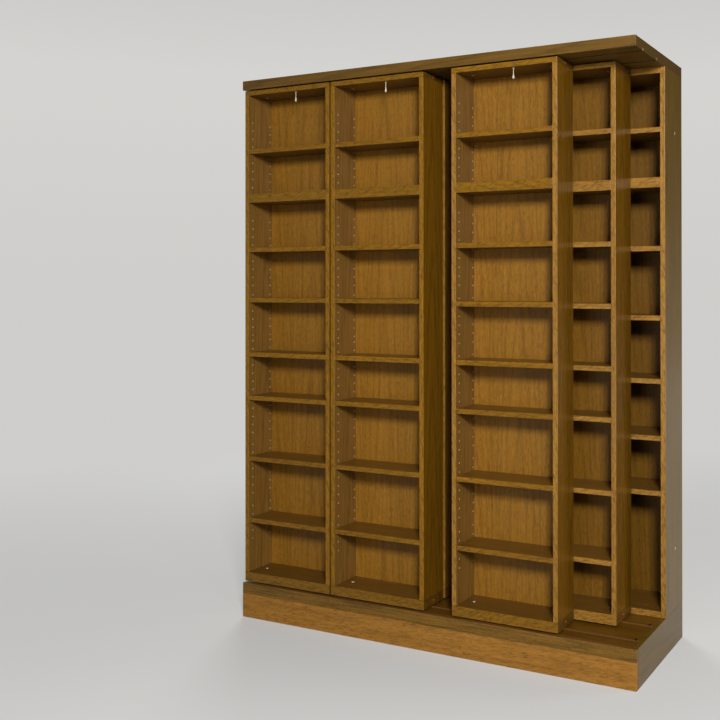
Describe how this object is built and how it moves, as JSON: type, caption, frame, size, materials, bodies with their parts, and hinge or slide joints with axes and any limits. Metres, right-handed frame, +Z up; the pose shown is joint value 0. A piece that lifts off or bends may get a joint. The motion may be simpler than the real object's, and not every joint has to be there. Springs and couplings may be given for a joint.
{
  "type": "sliding bookcase",
  "caption": "Tall open wooden bookcase whose front and middle rows are shelf cabinets that roll sideways on floor rails before a fixed back row.",
  "frame": {"origin": "on the floor, under the centre of the bookcase's outline seen from above", "axes": "+Z up, -Y towards the open front, +X to the right seen from the front, along the rails"},
  "size_m": [1.8, 0.63, 2.37],
  "materials": {
    "oak_panels": "satin",
    "oak_shelves": "satin",
    "oak_back_sheets": "satin",
    "oak_deck": "satin",
    "oak_plinth": "satin",
    "raw_board": "matt",
    "white_fittings": "satin",
    "wheel_nylon": "satin",
    "rail_metal": "satin",
    "stop_rubber": "matt",
    "bumper_rubber": "satin",
    "channel_plastic": "satin",
    "screw_steel": "satin"
  },
  "bodies": {
    "base": {"back_row_back_sheet": "oak_back_sheets", "back_row_dividers": "oak_panels", "back_row_end_panels": "oak_panels", "back_row_loose_shelves": "oak_shelves", "back_row_pins_and_caps": "white_fittings", "back_row_thick_shelves": "oak_shelves", "back_row_top_and_bottom": "oak_panels", "deck": "oak_deck", "deck_edge_strip": "oak_deck", "floor_rails": "rail_metal", "plinth_front_board": "oak_plinth", "plinth_rear_board_and_bearers": "raw_board", "plinth_side_boards": "oak_panels", "rail_end_stops": "stop_rubber", "top_edge_strip": "oak_panels", "top_guide_channels": "channel_plastic", "top_panel": "oak_panels", "top_panel_screws": "screw_steel"},
    "front_cabinet_1": {"front_cabinet_1_back_sheet": "oak_back_sheets", "front_cabinet_1_fittings": "white_fittings", "front_cabinet_1_loose_shelves": "oak_shelves", "front_cabinet_1_side_panels": "oak_panels", "front_cabinet_1_top_bottom_and_thick_shelf": "oak_panels"},
    "front_cabinet_1_left_wheel": {"front_cabinet_1_left_wheel": "wheel_nylon"},
    "front_cabinet_1_right_wheel": {"front_cabinet_1_right_wheel": "wheel_nylon"},
    "front_cabinet_2": {"front_cabinet_2_back_sheet": "oak_back_sheets", "front_cabinet_2_fittings": "white_fittings", "front_cabinet_2_loose_shelves": "oak_shelves", "front_cabinet_2_side_panels": "oak_panels", "front_cabinet_2_top_bottom_and_thick_shelf": "oak_panels"},
    "front_cabinet_2_left_wheel": {"front_cabinet_2_left_wheel": "wheel_nylon"},
    "front_cabinet_2_right_wheel": {"front_cabinet_2_right_wheel": "wheel_nylon"},
    "front_cabinet_3": {"front_cabinet_3_back_sheet": "oak_back_sheets", "front_cabinet_3_fittings": "white_fittings", "front_cabinet_3_loose_shelves": "oak_shelves", "front_cabinet_3_side_panels": "oak_panels", "front_cabinet_3_top_bottom_and_thick_shelf": "oak_panels"},
    "front_cabinet_3_left_wheel": {"front_cabinet_3_left_wheel": "wheel_nylon"},
    "front_cabinet_3_right_wheel": {"front_cabinet_3_right_wheel": "wheel_nylon"},
    "middle_cabinet_1": {"middle_cabinet_1_back_sheet": "oak_back_sheets", "middle_cabinet_1_fittings": "white_fittings", "middle_cabinet_1_loose_shelves": "oak_shelves", "middle_cabinet_1_side_panels": "oak_panels", "middle_cabinet_1_top_bottom_and_thick_shelf": "oak_panels"},
    "middle_cabinet_1_left_wheel": {"middle_cabinet_1_left_wheel": "wheel_nylon"},
    "middle_cabinet_1_right_wheel": {"middle_cabinet_1_right_wheel": "wheel_nylon"},
    "middle_cabinet_2": {"middle_cabinet_2_back_sheet": "oak_back_sheets", "middle_cabinet_2_fittings": "white_fittings", "middle_cabinet_2_loose_shelves": "oak_shelves", "middle_cabinet_2_side_panels": "oak_panels", "middle_cabinet_2_top_bottom_and_thick_shelf": "oak_panels"},
    "middle_cabinet_2_left_wheel": {"middle_cabinet_2_left_wheel": "wheel_nylon"},
    "middle_cabinet_2_right_wheel": {"middle_cabinet_2_right_wheel": "wheel_nylon"},
    "middle_cabinet_3": {"middle_cabinet_3_back_sheet": "oak_back_sheets", "middle_cabinet_3_fittings": "white_fittings", "middle_cabinet_3_loose_shelves": "oak_shelves", "middle_cabinet_3_side_panels": "oak_panels", "middle_cabinet_3_top_bottom_and_thick_shelf": "oak_panels"},
    "middle_cabinet_3_left_wheel": {"middle_cabinet_3_left_wheel": "wheel_nylon"},
    "middle_cabinet_3_right_wheel": {"middle_cabinet_3_right_wheel": "wheel_nylon"}
  },
  "joints": [
    {"name": "front_cabinet_1_slide", "type": "slide", "parent": "base", "child": "front_cabinet_1", "axis": [1, 0, 0], "range_m": [0, 0.12]},
    {"name": "front_cabinet_1_left_wheel_spin", "type": "hinge", "parent": "front_cabinet_1", "child": "front_cabinet_1_left_wheel", "pos_m": [-0.834, -0.2265, 0.169], "axis": [0, 1, 0], "range_deg": [-5, 464]},
    {"name": "front_cabinet_1_right_wheel_spin", "type": "hinge", "parent": "front_cabinet_1", "child": "front_cabinet_1_right_wheel", "pos_m": [-0.498, -0.2265, 0.169], "axis": [0, 1, 0], "range_deg": [-5, 464]},
    {"name": "front_cabinet_2_slide", "type": "slide", "parent": "front_cabinet_1", "child": "front_cabinet_2", "axis": [1, 0, 0], "range_m": [-0.003, 0.12]},
    {"name": "front_cabinet_2_left_wheel_spin", "type": "hinge", "parent": "front_cabinet_2", "child": "front_cabinet_2_left_wheel", "pos_m": [-0.377, -0.2265, 0.169], "axis": [0, 1, 0], "range_deg": [-17, 464]},
    {"name": "front_cabinet_2_right_wheel_spin", "type": "hinge", "parent": "front_cabinet_2", "child": "front_cabinet_2_right_wheel", "pos_m": [-0.041, -0.2265, 0.169], "axis": [0, 1, 0], "range_deg": [-17, 464]},
    {"name": "front_cabinet_3_slide", "type": "slide", "parent": "base", "child": "front_cabinet_3", "axis": [1, 0, 0], "range_m": [-0.12, 0.299]},
    {"name": "front_cabinet_3_left_wheel_spin", "type": "hinge", "parent": "front_cabinet_3", "child": "front_cabinet_3_left_wheel", "pos_m": [0.2005, -0.2265, 0.169], "axis": [0, 1, 0], "range_deg": [-464, 1148]},
    {"name": "front_cabinet_3_right_wheel_spin", "type": "hinge", "parent": "front_cabinet_3", "child": "front_cabinet_3_right_wheel", "pos_m": [0.5365, -0.2265, 0.169], "axis": [0, 1, 0], "range_deg": [-464, 1148]},
    {"name": "middle_cabinet_1_slide", "type": "slide", "parent": "base", "child": "middle_cabinet_1", "axis": [1, 0, 0], "range_m": [0, 0.25]},
    {"name": "middle_cabinet_1_left_wheel_spin", "type": "hinge", "parent": "middle_cabinet_1", "child": "middle_cabinet_1_left_wheel", "pos_m": [-0.834, -0.0475, 0.169], "axis": [0, 1, 0], "range_deg": [-5, 960]},
    {"name": "middle_cabinet_1_right_wheel_spin", "type": "hinge", "parent": "middle_cabinet_1", "child": "middle_cabinet_1_right_wheel", "pos_m": [-0.498, -0.0475, 0.169], "axis": [0, 1, 0], "range_deg": [-5, 960]},
    {"name": "middle_cabinet_2_slide", "type": "slide", "parent": "middle_cabinet_1", "child": "middle_cabinet_2", "axis": [1, 0, 0], "range_m": [-0.005, 0.15]},
    {"name": "middle_cabinet_2_left_wheel_spin", "type": "hinge", "parent": "middle_cabinet_2", "child": "middle_cabinet_2_left_wheel", "pos_m": [-0.375, -0.0475, 0.169], "axis": [0, 1, 0], "range_deg": [-25, 578]},
    {"name": "middle_cabinet_2_right_wheel_spin", "type": "hinge", "parent": "middle_cabinet_2", "child": "middle_cabinet_2_right_wheel", "pos_m": [-0.039, -0.0475, 0.169], "axis": [0, 1, 0], "range_deg": [-25, 578]},
    {"name": "middle_cabinet_3_slide", "type": "slide", "parent": "base", "child": "middle_cabinet_3", "axis": [1, 0, 0], "range_m": [-0.28, 0.13]},
    {"name": "middle_cabinet_3_left_wheel_spin", "type": "hinge", "parent": "middle_cabinet_3", "child": "middle_cabinet_3_left_wheel", "pos_m": [0.369, -0.0475, 0.169], "axis": [0, 1, 0], "range_deg": [-1075, 502]},
    {"name": "middle_cabinet_3_right_wheel_spin", "type": "hinge", "parent": "middle_cabinet_3", "child": "middle_cabinet_3_right_wheel", "pos_m": [0.705, -0.0475, 0.169], "axis": [0, 1, 0], "range_deg": [-1075, 502]}
  ],
  "couplings": [
    {"joint": "front_cabinet_1_left_wheel_spin", "follows": "front_cabinet_1_slide", "rad_per_m": 66.667},
    {"joint": "front_cabinet_1_right_wheel_spin", "follows": "front_cabinet_1_slide", "rad_per_m": 66.667},
    {"joint": "front_cabinet_2_left_wheel_spin", "follows": "front_cabinet_2_slide", "rad_per_m": 66.667},
    {"joint": "front_cabinet_2_right_wheel_spin", "follows": "front_cabinet_2_slide", "rad_per_m": 66.667},
    {"joint": "front_cabinet_3_left_wheel_spin", "follows": "front_cabinet_3_slide", "rad_per_m": 66.667},
    {"joint": "front_cabinet_3_right_wheel_spin", "follows": "front_cabinet_3_slide", "rad_per_m": 66.667},
    {"joint": "middle_cabinet_1_left_wheel_spin", "follows": "middle_cabinet_1_slide", "rad_per_m": 66.667},
    {"joint": "middle_cabinet_1_right_wheel_spin", "follows": "middle_cabinet_1_slide", "rad_per_m": 66.667},
    {"joint": "middle_cabinet_2_left_wheel_spin", "follows": "middle_cabinet_2_slide", "rad_per_m": 66.667},
    {"joint": "middle_cabinet_2_right_wheel_spin", "follows": "middle_cabinet_2_slide", "rad_per_m": 66.667},
    {"joint": "middle_cabinet_3_left_wheel_spin", "follows": "middle_cabinet_3_slide", "rad_per_m": 66.667},
    {"joint": "middle_cabinet_3_right_wheel_spin", "follows": "middle_cabinet_3_slide", "rad_per_m": 66.667}
  ]
}
